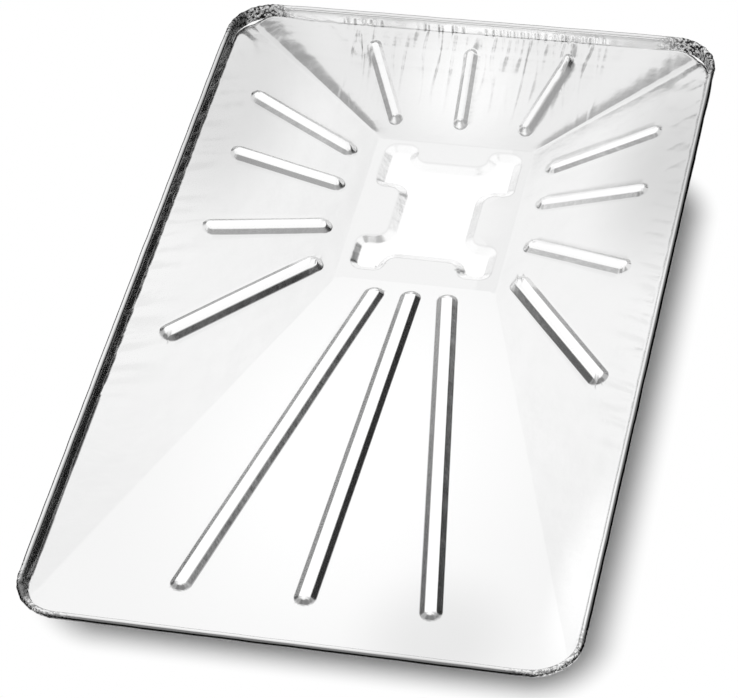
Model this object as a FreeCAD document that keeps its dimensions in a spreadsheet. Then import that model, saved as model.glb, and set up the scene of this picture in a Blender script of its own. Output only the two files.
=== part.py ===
import FreeCAD, Part
import math
import os
import Sketcher

# A shallow drip pan pressed from one sheet of aluminium foil. Millimetres, +Z up.
# The underside of the well is at z = 0. X runs across the pan and +Y runs to its back rim.
# The rim is level, its rectangle is measured along the middle of the rolled bead, and the
# origin is under the middle of that rectangle.

SIZES = {
    # sheet
    "foil_thickness": 0.25,
    # rim, along the middle of the bead
    "rim_width": 386,
    "rim_length": 634,
    "rim_corner_radius": 32,
    "bead_radius": 2.6,
    "bead_wrap": 305,
    "bead_flats": 9,
    "step_height": 7.7,
    "step_lean": 1.3,
    # floor at the foot of the four slopes
    "floor_width": 121.6,
    "floor_length": 156,
    "floor_setback": 87,
    "floor_depth": 51,
    # well in the floor, with a pad left standing in the middle of each side
    "well_width": 111,
    "well_length": 141.5,
    "well_setback": 3.5,
    "well_depth": 4.2,
    "well_wall_run": 4,
    "lobe_radius": 10.5,
    "pad_width": 54,
    "pad_nose_radius": 8,
    "pad_root_radius": 5,
    "side_pad_reach": 21.5,
    "side_pad_shift": -6,
    "back_pad_reach": 18.5,
    "front_pad_reach": 15.5,
    # ribs, pressed up from the slopes
    "rib_width": 15.8,
    "back_rib_width": 12,
    "rib_height": 3.2,
    "rib_wall_run": 3.4,
    # side ribs, whose two ends lie at these distances from the back rim
    "side_rib_rim_gap": 30,
    "side_rib_floor_gap": 14.5,
    "first_side_rib_outer": 85.4,
    "first_side_rib_inner": 112.1,
    "second_side_rib_outer": 152.4,
    "second_side_rib_inner": 149.8,
    "third_side_rib_outer": 238.9,
    "third_side_rib_inner": 193.9,
    "fourth_side_rib_outer": 355.3,
    "fourth_side_rib_inner": 232,
    # slanted back and front ribs, whose two ends lie at these distances from the middle
    "back_rib_rim_gap": 15,
    "back_rib_floor_gap": 11.7,
    "back_rib_outer": 80,
    "back_rib_inner": 49.6,
    "front_rib_rim_gap": 43,
    "front_rib_floor_gap": 8.3,
    "front_rib_outer": 88,
    "front_rib_inner": 26.7,
    # soft folds that run down the back slope from its two corners and die away
    "corner_fold_width": 16,
    "corner_fold_height": 1.2,
    "corner_fold_outer": 160,
    "corner_fold_inner": 104,
    "corner_fold_floor_gap": 40,
    # gathers crimped into each rim corner
    "gather_count": 6,
    "gather_depth": 0.6,
    "gather_squeeze": 0.3,
    "gather_foot": 1.5,
}

# Levels above the underside of the well, and the plan of the slopes.
FLOOR_Z = "(foil_thickness + well_depth)"
BEAD_Z = f"({FLOOR_Z} + floor_depth)"
FALL = "(floor_depth - step_height)"
EDGE_X = "(rim_width / 2 - bead_radius - step_lean)"
EDGE_Y = "(rim_length / 2 - bead_radius - step_lean)"
FLOOR_X = "(floor_width / 2)"
FLOOR_BACK = "(rim_length / 2 - floor_setback)"
FLOOR_FRONT = f"({FLOOR_BACK} - floor_length)"
SIDE_RUN = f"({EDGE_X} - {FLOOR_X})"
BACK_RUN = f"({EDGE_Y} - {FLOOR_BACK})"
FRONT_RUN = f"({EDGE_Y} + {FLOOR_FRONT})"

doc = FreeCAD.newDocument("foil_drip_pan")
sheet = doc.addObject("Spreadsheet::Sheet", "sizes")
for row, (size_name, size) in enumerate(SIZES.items(), start=1):
    sheet.set(f"A{row}", size_name)
    sheet.set(f"B{row}", str(size))
    sheet.setAlias(f"B{row}", size_name)
doc.recompute()


def linked(text):
    """An expression in which each name of a size points at its cell of the sheet."""
    words = []
    word = ""
    for letter in f"({text}) ":
        if letter.isalnum() or letter == "_":
            word += letter
            continue
        words.append(f"sizes.{word}" if word in SIZES else word)
        words.append(letter)
        word = ""
    return "".join(words).strip()


def value_of(text):
    """What an expression of sizes comes to, as a plain number."""
    result = sheet.evalExpression(linked(text))
    return float(getattr(result, "Value", result))


def bind(item, links):
    """Bind properties of an object to expressions of sizes."""
    for property_name, text in links.items():
        item.setExpression(property_name, linked(text))
    return item


def spot(across, along, up, turns="rotationz(0)"):
    """A placement, as an expression: a position and the turns made there."""
    return f"placement(create(<<vector>>; {across}; {along}; {up}); {turns})"


def join_lines(sketch, joins):
    """Make the ends of lines and arcs of a sketch meet smoothly."""
    for join in joins:
        sketch.addConstraint(Sketcher.Constraint("Tangent", *join))


def hold(sketch, kind, parts, text):
    """Set a distance, radius or angle in a sketch to an expression of sizes."""
    number = sketch.addConstraint(Sketcher.Constraint(kind, *parts, value_of(text)))
    sketch.setExpression(f"Constraints[{number}]", linked(text))


def box_outline(name, lines, radii):
    """A closed sketch of lines along X and Y by turns, with an arc at each corner.

    lines gives the y of a line along X, then the x of a line along Y, and so on, to the left
    round the outline. radii gives the radius between each line and the next.
    """
    sketch = doc.addObject("Sketcher::SketchObject", name)
    count = len(lines)
    at = [value_of(text) for text in lines]
    rounds = [value_of(text) for text in radii]
    corners = []
    for index in range(count):
        here, following = at[index], at[(index + 1) % count]
        along_x = index % 2 == 0
        corners.append(FreeCAD.Vector(following, here) if along_x else FreeCAD.Vector(here, following))
    ways = [(corners[index] - corners[index - 1]).normalize() for index in range(count)]
    for index in range(count):
        start = corners[index - 1] + ways[index] * rounds[index - 1]
        stop = corners[index] - ways[index] * rounds[index]
        sketch.addGeometry(Part.LineSegment(start, stop))
    for index in range(count):
        into, away = ways[index], ways[(index + 1) % count]
        start = corners[index] - into * rounds[index]
        stop = corners[index] + away * rounds[index]
        middle = corners[index] + (away - into) * rounds[index] * (1 - math.sqrt(0.5))
        sketch.addGeometry(Part.Arc(start, middle, stop))
    for index, text in enumerate(lines):
        along_x = index % 2 == 0
        arc, following = count + index, (index + 1) % count
        left_turn = ways[index].cross(ways[following]).z > 0
        near, far = (1, 2) if left_turn else (2, 1)
        join_lines(sketch, [(index, 2, arc, near), (arc, far, following, 1)])
        sketch.addConstraint(Sketcher.Constraint("Horizontal" if along_x else "Vertical", index))
        hold(sketch, "DistanceY" if along_x else "DistanceX", (-1, 1, index, 1), text)
        hold(sketch, "Radius", (arc,), radii[index])
    return sketch


def slot_outline(name, length, radius):
    """A closed sketch of a slot with round ends, which runs along X from the origin."""
    sketch = doc.addObject("Sketcher::SketchObject", name)
    bend = value_of(radius)
    far = value_of(length) - bend
    up = FreeCAD.Vector(0, 0, 1)
    for middle, start in ((bend, math.pi / 2), (far, -math.pi / 2)):
        circle = Part.Circle(FreeCAD.Vector(middle, 0, 0), up, bend)
        sketch.addGeometry(Part.ArcOfCircle(circle, start, start + math.pi))
    for start, stop, side in ((bend, far, -bend), (far, bend, bend)):
        sketch.addGeometry(Part.LineSegment(FreeCAD.Vector(start, side), FreeCAD.Vector(stop, side)))
    join_lines(sketch, [(0, 2, 2, 1), (2, 2, 1, 1), (1, 2, 3, 1), (3, 2, 0, 1)])
    for arc in (0, 1):
        sketch.addConstraint(Sketcher.Constraint("PointOnObject", arc, 3, -1))
    hold(sketch, "Radius", (0,), radius)
    hold(sketch, "DistanceX", (-1, 1, 0, 3), radius)
    hold(sketch, "DistanceX", (-1, 1, 1, 3), f"{length} - {radius}")
    return sketch


def tapered(name, sketch, height, widening, placement):
    """A solid drawn up from a sketch, which widens by a share of its height."""
    solid = doc.addObject("Part::Extrusion", name)
    solid.Base = sketch
    solid.DirMode = "Custom"
    solid.Dir = FreeCAD.Vector(0, 0, 1)
    solid.Solid = True
    return bind(solid, {"LengthFwd": height, "TaperAngle": f"atan({widening})", "Placement": placement})


def boolean(kind, name, first, second):
    """What is left of one object when another is cut from it, or what the two share."""
    result = doc.addObject(kind, name)
    result.Base = first
    result.Tool = second
    return result


def fused(name, items):
    """One object fused from several."""
    result = doc.addObject("Part::MultiFuse", name)
    result.Shapes = items
    return result


def slopes(name, offset):
    """The space over the floor and between the four slopes, each face moved out by an offset."""
    above = "(step_height + bead_radius)"
    wedge = doc.addObject("Part::Wedge", name)

    def foot(run):
        return f"({offset}) * (sqrt({run} * {run} + {FALL} * {FALL}) - {run}) / {FALL}"

    def head(run):
        return f"{foot(run)} + {run} * ({FALL} + {above} + {offset}) / {FALL}"

    bind(wedge, {
        "Ymin": f"0 - {offset}",
        "Ymax": f"{FALL} + {above}",
        "Xmin": f"0 - {FLOOR_X} - {foot(SIDE_RUN)}",
        "Xmax": f"{FLOOR_X} + {foot(SIDE_RUN)}",
        "X2min": f"0 - {FLOOR_X} - ({head(SIDE_RUN)})",
        "X2max": f"{FLOOR_X} + {head(SIDE_RUN)}",
        "Zmin": f"0 - {FLOOR_BACK} - {foot(BACK_RUN)}",
        "Zmax": f"0 - {FLOOR_FRONT} + {foot(FRONT_RUN)}",
        "Z2min": f"0 - {FLOOR_BACK} - ({head(BACK_RUN)})",
        "Z2max": f"0 - {FLOOR_FRONT} + {head(FRONT_RUN)}",
        "Placement": spot("0", "0", FLOOR_Z, "rotationx(90)"),
    })
    return wedge


def rim_prism(name, offset):
    """The space inside the leaning step wall, up to the middle of the bead."""
    inset = f"(bead_radius + step_lean * {BEAD_Z} / step_height - {offset})"
    half_x = f"(rim_width / 2 - {inset})"
    half_y = f"(rim_length / 2 - {inset})"
    lines = [f"0 - {half_y}", half_x, half_y, f"0 - {half_x}"]
    outline = box_outline(f"{name}_outline", lines, [f"rim_corner_radius - {inset}"] * 4)
    return tapered(name, outline, BEAD_Z, "step_lean / step_height", spot("0", "0", "0"))


def well_space(name, offset):
    """The space of the well: a lobe in each corner, narrower between the four pads."""
    grow = f"({offset} * sqrt(well_wall_run * well_wall_run + well_depth * well_depth) / well_depth)"
    back = f"({FLOOR_BACK} - well_setback + {grow})"
    front = f"({FLOOR_BACK} - well_setback - well_length - {grow})"
    side = f"(well_width / 2 + {grow})"
    middle = f"({FLOOR_BACK} - well_setback - well_length / 2 + side_pad_shift)"
    half_pad = f"(pad_width / 2 - {grow})"
    pad_back, pad_front = f"({middle} + {half_pad})", f"({middle} - {half_pad})"
    back_nose, front_nose = f"({back} - back_pad_reach)", f"({front} + front_pad_reach)"
    side_nose = f"({side} - side_pad_reach)"
    right = [half_pad, front, side, pad_front, side_nose, pad_back, side, back, half_pad]
    left = [f"0 - {text}" if index % 2 == 0 else text for index, text in enumerate(right)]
    lines = [front_nose] + right + [back_nose] + left[::-1]
    nose, root, lobe = f"pad_nose_radius - {grow}", f"pad_root_radius + {grow}", f"lobe_radius + {grow}"
    outline = box_outline(f"{name}_outline", lines, [nose, root, lobe, root, nose] * 4)
    depth = f"(well_depth + {offset})"
    solid = tapered(name, outline, depth, "0 - well_wall_run / well_depth", spot("0", "0", FLOOR_Z))
    solid.Dir = FreeCAD.Vector(0, 0, -1)
    return solid


def untrimmed_slopes():
    """The pressed sheet without its ribs: the well, the floor and the slopes carried on past the rim."""
    faces = []
    for side, offset in (("lower", "foil_thickness"), ("upper", "0")):
        spaces = [slopes(f"{side}_slopes", offset), well_space(f"{side}_well", offset)]
        faces.append(fused(f"{side}_face", spaces))
    return boolean("Part::Cut", "untrimmed_slopes", *faces)


def rib(name, width, turn, run, foot, inner, outer, tool):
    """A rib on a slope, or the groove under it, between two points (up the slope, sideways)."""
    lean = f"(rib_wall_run / rib_height)"
    slope = f"atan(0 - {FALL} / {run})"
    stretch = f"sqrt(1 + {FALL} * {FALL} / ({run} * {run}))"
    rise = f"(({outer[0]} - {inner[0]}) * {stretch})"
    drift = f"({outer[1]} - {inner[1]})"
    if tool == "rib":
        start, top, spread = "(0 - foil_thickness / 2)", "rib_height", f"{lean} * foil_thickness / 2"
    else:
        start, top = "(0 - 2 * foil_thickness)", "(rib_height - foil_thickness)"
        spread = f"foil_thickness * (2 * {lean} - sqrt(1 + {lean} * {lean}))"
    radius = f"({width} / 2 + {spread})"
    length = f"(sqrt({rise} * {rise} + {drift} * {drift}) + 2 * ({spread}))"
    outline = slot_outline(f"{name}_outline", length, radius)
    facing = f"rotationz({turn}) * rotationy({slope})"
    heading = f"rotationz(atan2({drift}; {rise}))"
    placement = (
        spot(foot[0], foot[1], FLOOR_Z, facing)
        + " * " + spot(f"{inner[0]} * {stretch}", inner[1], start, heading)
        + " * " + spot(f"0 - ({spread})", "0", "0")
    )
    return tapered(name, outline, f"{top} - {start}", f"0 - {lean}", placement)


def corner_fold(name, drop):
    """A fold that rises to a ridge at the rim and dies away down the back slope.

    drop moves it down into the slope, for the hollow under the fold.
    """
    stretch = math.sqrt(1 + (value_of(FALL) / value_of(BACK_RUN)) ** 2)
    half, height = value_of("corner_fold_width") / 2, value_of("corner_fold_height")
    inner = FreeCAD.Vector(value_of("corner_fold_floor_gap") * stretch, -value_of("corner_fold_inner"), 0)
    outer = FreeCAD.Vector(value_of("floor_setback") * stretch, -value_of("corner_fold_outer"), 0)
    beside = FreeCAD.Vector(0, half, 0)
    lifted = FreeCAD.Vector(0, 0, height)
    corners = [outer - beside, outer + beside, outer + lifted, inner]
    faces = [
        Part.Face(Part.makePolygon([corners[index] for index in loop + loop[:1]]))
        for loop in ([0, 1, 2], [0, 1, 3], [1, 2, 3], [2, 0, 3])
    ]
    fold = doc.addObject("Part::Feature", name)
    fold.Shape = Part.makeSolid(Part.makeShell(faces))
    facing = f"rotationz(90) * rotationy(atan(0 - {FALL} / {BACK_RUN}))"
    sunk = spot("0", "0", f"0 - {drop}")
    return bind(fold, {"Placement": spot("0", FLOOR_BACK, FLOOR_Z, facing) + " * " + sunk})


def rib_list():
    """Each rib on the right half or the middle: name, width and place on its slope."""
    side = ("rib_width", 0, SIDE_RUN, (FLOOR_X, "0"))
    side_inner = "side_rib_floor_gap"
    side_outer = f"(rim_width / 2 - {FLOOR_X} - side_rib_rim_gap)"
    for place in ("first", "second", "third", "fourth"):
        inner = (side_inner, f"(rim_length / 2 - {place}_side_rib_inner)")
        outer = (side_outer, f"(rim_length / 2 - {place}_side_rib_outer)")
        yield f"{place}_side", *side, inner, outer
    back = ("back_rib_width", 90, BACK_RUN, ("0", FLOOR_BACK))
    back_outer = "(floor_setback - back_rib_rim_gap)"
    front = ("rib_width", -90, FRONT_RUN, ("0", FLOOR_FRONT))
    front_outer = f"(rim_length / 2 + {FLOOR_FRONT} - front_rib_rim_gap)"
    yield "middle_back", *back, ("back_rib_floor_gap", "0"), (back_outer, "0")
    yield "middle_front", *front, ("front_rib_floor_gap", "0"), (front_outer, "0")
    yield "back", *back, ("back_rib_floor_gap", "(0 - back_rib_inner)"), (back_outer, "(0 - back_rib_outer)")
    yield "front", *front, ("front_rib_floor_gap", "front_rib_inner"), (front_outer, "front_rib_outer")


def all_ribs(tool):
    """All the ribs, or all the grooves under them: the right half, its mirror and the middle."""
    ribs = []
    right = []
    for name, *rest in rib_list():
        made = rib(f"{name}_{tool}", *rest, tool)
        (ribs if name.startswith("middle") else right).append(made)
    right.append(corner_fold(f"corner_fold_{tool}", "0" if tool == "rib" else "foil_thickness"))
    mirror = doc.addObject("Part::Mirroring", f"left_{tool}s")
    mirror.Source = fused(f"right_{tool}s", right)
    mirror.Normal = FreeCAD.Vector(1, 0, 0)
    return ribs + [mirror.Source, mirror]


def slope_height(across, along):
    """The height of the upper face of the slopes at a place in plan."""
    fall, base = value_of(FALL), value_of(FLOOR_Z)
    side = (abs(across) - value_of(FLOOR_X)) / value_of(SIDE_RUN)
    back = (along - value_of(FLOOR_BACK)) / value_of(BACK_RUN)
    front = (value_of(FLOOR_FRONT) - along) / value_of(FRONT_RUN)
    return base + fall * max(side, back, front)


def rim_section(place, gather):
    """The section of the step wall and of the open curl of the bead above it.

    place lies on the middle of the bead and turns X to point out of the pan. gather is 0 for the
    plain section and 1 for one that is pressed in by a full gather. The wall leans in on its way
    down, so the place where its foot meets the slope is found in a few steps.
    """
    thick, bead = value_of("foil_thickness"), value_of("bead_radius")
    lean = value_of("step_lean / step_height")
    curl = bead - gather * value_of("gather_squeeze")
    middle = curl - bead - gather * value_of("gather_depth")
    knee = value_of("gather_foot - step_height")
    foot = -value_of("step_height")
    for _ in range(4):
        below = place.multVec(FreeCAD.Vector(lean * foot - bead, 0, 0))
        foot = slope_height(below.x, below.y) - thick / 2 - place.Base.z
    flats = int(value_of("bead_flats"))
    turns = [math.radians(180 - value_of("bead_wrap") * flat / flats) for flat in range(flats + 1)]
    over = [(middle + curl * math.cos(turn), curl * math.sin(turn)) for turn in turns]
    hidden = curl - thick
    under = [(middle + hidden * math.cos(turn), hidden * math.sin(turn)) for turn in turns[::-1]]
    inner_wall = [(lean * height - bead, height) for height in (foot, knee)]
    outer_wall = [(across + thick, height) for across, height in inner_wall[::-1]]
    points = [
        place.multVec(FreeCAD.Vector(across, 0, height))
        for across, height in inner_wall + over + under + outer_wall
    ]
    return Part.makePolygon(points + points[:1])


def rim_ring():
    """The step wall and the bead all round, gathered at each corner."""
    folds = 2 * int(value_of("gather_count"))
    radius = value_of("rim_corner_radius")
    corner_x = value_of("rim_width / 2 - rim_corner_radius")
    corner_y = value_of("rim_length / 2 - rim_corner_radius")
    height = value_of(BEAD_Z)
    up = FreeCAD.Vector(0, 0, 1)
    sections = []
    for number, (side, end) in enumerate(((1, 1), (-1, 1), (-1, -1), (1, -1))):
        centre = FreeCAD.Vector(side * corner_x, end * corner_y, height)
        for fold in range(folds + 1):
            turned = FreeCAD.Rotation(up, 90 * (number + fold / folds))
            middle = centre + turned.multVec(FreeCAD.Vector(radius, 0, 0))
            sections.append(rim_section(FreeCAD.Placement(middle, turned), fold % 2))
    ring = doc.addObject("Part::Feature", "rim_ring")
    ring.Shape = Part.makeLoft(sections, True, True, True)
    return ring


doc.recompute()
raised = fused("raised_sheet", [untrimmed_slopes()] + all_ribs("rib"))
pressed = boolean("Part::Cut", "pressed_sheet", raised, fused("grooves", all_ribs("groove")))
trimmed = boolean("Part::Common", "trimmed_sheet", pressed, rim_prism("wall_middle", "foil_thickness / 2"))
pan = fused("foil_pan", [trimmed, rim_ring()])
pan.Label = "foil_pan"
doc.recompute()

for item in doc.Objects:
    if "Invalid" in item.State or "Error" in item.State:
        raise RuntimeError(f"{item.Label} has failed: {item.getStatusString()}")
if pan.Shape.isNull() or not pan.Shape.isValid() or len(pan.Shape.Solids) != 1:
    raise RuntimeError(f"{pan.Label} is not one valid solid")

os.makedirs("parts", exist_ok=True)
pan.Shape.exportStep(f"parts/{pan.Label}.step")
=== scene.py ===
"""A foil drip pan: one pressed sheet with ribs, a lobed well, creased corners and a rolled rim."""

import math

import bmesh
import bpy
from mathutils import Matrix, Vector, noise


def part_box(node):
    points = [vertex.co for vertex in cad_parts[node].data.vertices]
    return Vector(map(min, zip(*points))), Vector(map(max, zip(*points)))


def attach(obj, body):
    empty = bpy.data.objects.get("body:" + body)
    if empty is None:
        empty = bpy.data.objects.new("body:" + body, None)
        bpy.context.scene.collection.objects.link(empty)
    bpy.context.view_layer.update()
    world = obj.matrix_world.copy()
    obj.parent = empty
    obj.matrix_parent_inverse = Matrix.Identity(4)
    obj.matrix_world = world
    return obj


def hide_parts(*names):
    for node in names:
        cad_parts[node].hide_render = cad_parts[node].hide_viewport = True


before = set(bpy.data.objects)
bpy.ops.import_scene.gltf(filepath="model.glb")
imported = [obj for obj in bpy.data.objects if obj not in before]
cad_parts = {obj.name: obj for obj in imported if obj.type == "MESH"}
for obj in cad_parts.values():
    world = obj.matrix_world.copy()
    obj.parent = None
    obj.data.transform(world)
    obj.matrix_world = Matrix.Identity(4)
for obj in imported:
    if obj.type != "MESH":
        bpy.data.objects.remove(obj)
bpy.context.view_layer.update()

# Sizes of the pan in millimetres, measured from the middle of the rim's rectangle.
MM = 0.001
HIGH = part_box("foil_pan")[1] / MM

FOIL = 0.22
BEAD_RADIUS = 2.6
BEAD_WRAP = math.radians(305)
RIM_RADIUS = 32
STEP_HEIGHT = 7.7
STEP_LEAN = 1.3
RIM_X = HIGH.x - BEAD_RADIUS
RIM_Y = HIGH.y - BEAD_RADIUS
BEAD_Z = HIGH.z - BEAD_RADIUS

FOOT_INSET = BEAD_RADIUS + STEP_LEAN
FOOT_X, FOOT_Y = RIM_X - FOOT_INSET, RIM_Y - FOOT_INSET
FOOT_RADIUS = RIM_RADIUS - FOOT_INSET

WELL_DEPTH = 4.2
FLOOR_Z = WELL_DEPTH + 0.25
FLOOR_X = 60.8
FLOOR_SETBACK = 83.1
FLOOR_BACK, FLOOR_FRONT = FOOT_Y - FLOOR_SETBACK, 74
FLOOR_RADIUS = 3
FALL = BEAD_Z - STEP_HEIGHT - FLOOR_Z

# Ribs: height, bend at the foot and the top of the wall, width of the wall, and half widths.
RIB_HEIGHT, RIB_BEND, RIB_WALL = 3.05, 0.3, 4.0
WIDE_RIB, NARROW_RIB = 7.9, 6.0
# Distances of the side ribs' outer and inner ends from the back rim, and distances of the back and
# front ribs' inner and outer ends from the middle.
SIDE_RIBS = ((85.4, 112.1), (152.4, 149.8), (238.9, 193.9), (355.3, 232.0))
BACK_RIBS, FRONT_RIBS = (49.6, 80), (26.7, 88)
# Gaps between the floor and the ribs, and between the ribs and the rim.
SIDE_GAPS, BACK_GAPS, FRONT_GAPS = (14.5, 30), (11.7, 15), (8.3, 43)

WELL_WIDTH, WELL_LENGTH, WELL_SETBACK = 111, 141.5, 3.5
WELL_BACK = FLOOR_BACK - WELL_SETBACK
WELL_WALL, STEEP_WALL, WELL_BEND = 8.0, 6.3, 0.8
PAD_WIDTH, PAD_SHIFT = 54, -6
PAD_MIDDLE = WELL_BACK - WELL_LENGTH / 2 + PAD_SHIFT
SIDE_REACH, BACK_REACH, FRONT_REACH = 21.5, 18.5, 15.5
LOBE_RADIUS, NOSE_RADIUS, ROOT_RADIUS = 11, 8, 9.2

# How finely the sheet and the rim are divided.
SLOPE_ROWS = 76
GAP_STEP = 8.0
CORNER_COLUMNS = 14
LEDGE_ROW = 1
WELL_COLUMNS, WELL_ROWS = 460, 12
OUTLINE_CORNER_STEPS = 8
WRINKLE_EDGE, RIB_END_EDGE = 3.6, 1.0
RIM_STEP, RIM_CORNER_STEPS = 1.9, 44
STEP_ROWS, CURL_ROWS = 6, 18


def smooth(value):
    """0 to 1 with soft ends."""
    value = min(max(value, 0), 1)
    return value * value * (3 - 2 * value)


def mix(first, second, share):
    """The value that lies the share of the way from the first to the second."""
    return first + (second - first) * share


# --- Places round the pan ---------------------------------------------------------------------


def side_ribs():
    """Ribs of one side slope, each as start, end and half width in (along the rim, out) places."""
    for outer, inner in SIDE_RIBS:
        start = (RIM_Y - inner, FLOOR_X + SIDE_GAPS[0])
        yield start, (RIM_Y - outer, RIM_X - SIDE_GAPS[1]), WIDE_RIB


def mirrored(ribs):
    """The ribs of the other side slope."""
    return [((-start[0], start[1]), (-end[0], end[1]), half) for start, end, half in ribs]


def end_ribs(reach, floor_edge, gaps, half):
    """The three ribs of the back or the front slope."""
    for way in (-1, 0, 1):
        yield (way * reach[0], floor_edge + gaps[0]), (way * reach[1], RIM_Y - gaps[1]), half


# Each side: turn about Z, ends of its floor's edge and of its rim along it, how far out these two
# lie, its ribs, and how its rows are spread between the floor and the rim.
SIDES = (
    {
        "turn": 0, "floor": (FLOOR_FRONT, FLOOR_BACK), "rim": (-FOOT_Y, FOOT_Y),
        "near": FLOOR_X, "far": FOOT_X, "ribs": sorted(side_ribs()),
        "rows": (0, 0.10, 0.19, 0.72, 0.81, 1),
    },
    {
        "turn": 90, "floor": (-FLOOR_X, FLOOR_X), "rim": (-FOOT_X, FOOT_X),
        "near": FLOOR_BACK, "far": FOOT_Y,
        "ribs": sorted(end_ribs(BACK_RIBS, FLOOR_BACK, BACK_GAPS, NARROW_RIB)),
        "rows": (0, 0.13, 0.22, 0.79, 0.875, 1),
    },
    {
        "turn": 180, "floor": (-FLOOR_BACK, -FLOOR_FRONT), "rim": (-FOOT_Y, FOOT_Y),
        "near": FLOOR_X, "far": FOOT_X, "ribs": sorted(mirrored(side_ribs())),
        "rows": (0, 0.10, 0.19, 0.72, 0.81, 1),
    },
    {
        "turn": 270, "floor": (-FLOOR_X, FLOOR_X), "rim": (-FOOT_X, FOOT_X),
        "near": -FLOOR_FRONT, "far": FOOT_Y,
        "ribs": sorted(end_ribs(FRONT_RIBS, -FLOOR_FRONT, FRONT_GAPS, WIDE_RIB)),
        "rows": (0, 0.018, 0.045, 0.873, 0.903, 1),
    },
)
ROW_SHARES = (0, 0.09, 0.25, 0.68, 0.84, 1)


def turned(along, out, turn):
    """A place on a side, as X and Y of the pan: along runs anticlockwise, out points outward."""
    angle = math.radians(turn)
    return Vector((
        out * math.cos(angle) - along * math.sin(angle),
        out * math.sin(angle) + along * math.cos(angle),
    ))


def rib_stations(side):
    """Where lines beside and along each rib meet the floor's edge and the rim, along the side."""
    for start, end, half in side["ribs"]:
        run = Vector(end) - Vector(start)
        top = half - RIB_WALL
        edges = (
            half + RIB_BEND, half - RIB_BEND, half - RIB_BEND - 0.4,
            top + RIB_BEND + 0.4, top + RIB_BEND, top - RIB_BEND,
        )
        for shift in [-edge for edge in edges] + [0] + list(edges[::-1]):
            yield tuple(
                start[0] + (out - start[1]) * run.x / run.y + shift * run.length / run.y
                for out in (side["near"], side["far"])
            )


def columns():
    """Every line that runs from the floor's edge to the rim: its two ends and its side's rows."""
    lines = []
    for index, side in enumerate(SIDES):
        following = SIDES[(index + 1) % 4]
        stations = sorted(rib_stations(side))
        first = (side["floor"][0] + FLOOR_RADIUS, side["rim"][0] + FOOT_RADIUS)
        last = (side["floor"][1] - FLOOR_RADIUS, side["rim"][1] - FOOT_RADIUS)
        stations = [first] + stations + [last]
        for here, there in zip(stations, stations[1:]):
            steps = max(1, round((there[1] - here[1]) / GAP_STEP))
            for step in range(steps):
                share = step / steps
                floor, rim = (mix(a, b, share) for a, b in zip(here, there))
                lines.append((
                    turned(floor, side["near"], side["turn"]),
                    turned(rim, side["far"], side["turn"]),
                    turned(0, 1, side["turn"]), side["rows"],
                ))
        floor_middle = turned(last[0], side["near"] - FLOOR_RADIUS, side["turn"])
        rim_middle = turned(last[1], side["far"] - FOOT_RADIUS, side["turn"])
        for step in range(CORNER_COLUMNS):
            angle = math.radians(side["turn"] + 90 * step / CORNER_COLUMNS)
            spoke = Vector((math.cos(angle), math.sin(angle)))
            both = zip(side["rows"], following["rows"])
            rows = [mix(here, there, step / CORNER_COLUMNS) for here, there in both]
            lines.append((
                floor_middle + spoke * FLOOR_RADIUS, rim_middle + spoke * FOOT_RADIUS, spoke, rows,
            ))
    return lines


def row_share(rows, step):
    """How far row number step lies from the floor's edge to the rim."""
    share = step / SLOPE_ROWS
    for index, (low, high) in enumerate(zip(ROW_SHARES, ROW_SHARES[1:])):
        if share <= high:
            return mix(rows[index], rows[index + 1], (share - low) / (high - low))
    return 1


def well_outline(grow):
    """The well's lobed outline moved outward by grow: corners with radii, anticlockwise."""
    side, half_pad = WELL_WIDTH / 2 + grow, PAD_WIDTH / 2 - grow
    back, front = WELL_BACK + grow, WELL_BACK - WELL_LENGTH - grow
    nose, root, lobe = NOSE_RADIUS - grow, ROOT_RADIUS + grow, LOBE_RADIUS + grow
    right = [
        (half_pad, front + FRONT_REACH, nose), (half_pad, front, root), (side, front, lobe),
        (side, PAD_MIDDLE - half_pad, root), (side - SIDE_REACH, PAD_MIDDLE - half_pad, nose),
        (side - SIDE_REACH, PAD_MIDDLE + half_pad, nose), (side, PAD_MIDDLE + half_pad, root),
        (side, back, lobe), (half_pad, back, root), (half_pad, back - BACK_REACH, nose),
    ]
    return right + [(-x, y, radius) for x, y, radius in right[::-1]]


def rounded(corners):
    """A closed outline as points, with each corner rounded in small steps."""
    points = []
    count = len(corners)
    for index, (x, y, radius) in enumerate(corners):
        here = Vector((x, y))
        before = (Vector(corners[index - 1][:2]) - here).normalized()
        after = (Vector(corners[(index + 1) % count][:2]) - here).normalized()
        middle = here + (before + after) * radius
        for step in range(OUTLINE_CORNER_STEPS + 1):
            angle = math.pi / 2 * step / OUTLINE_CORNER_STEPS
            spoke = after * radius * math.cos(angle) + before * radius * math.sin(angle)
            points.append(middle - spoke)
    return points


def spread_evenly(points, count):
    """Places at even distances along a closed outline."""
    path = points + points[:1]
    lengths = [(b - a).length for a, b in zip(path, path[1:])]
    total = sum(lengths)
    places, index, passed = [], 0, 0
    for step in range(count):
        wanted = total * step / count
        while passed + lengths[index] < wanted:
            passed += lengths[index]
            index += 1
        places.append(path[index].lerp(path[index + 1], (wanted - passed) / lengths[index]))
    return places


# --- Shape of the pressed sheet ---------------------------------------------------------------


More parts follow.
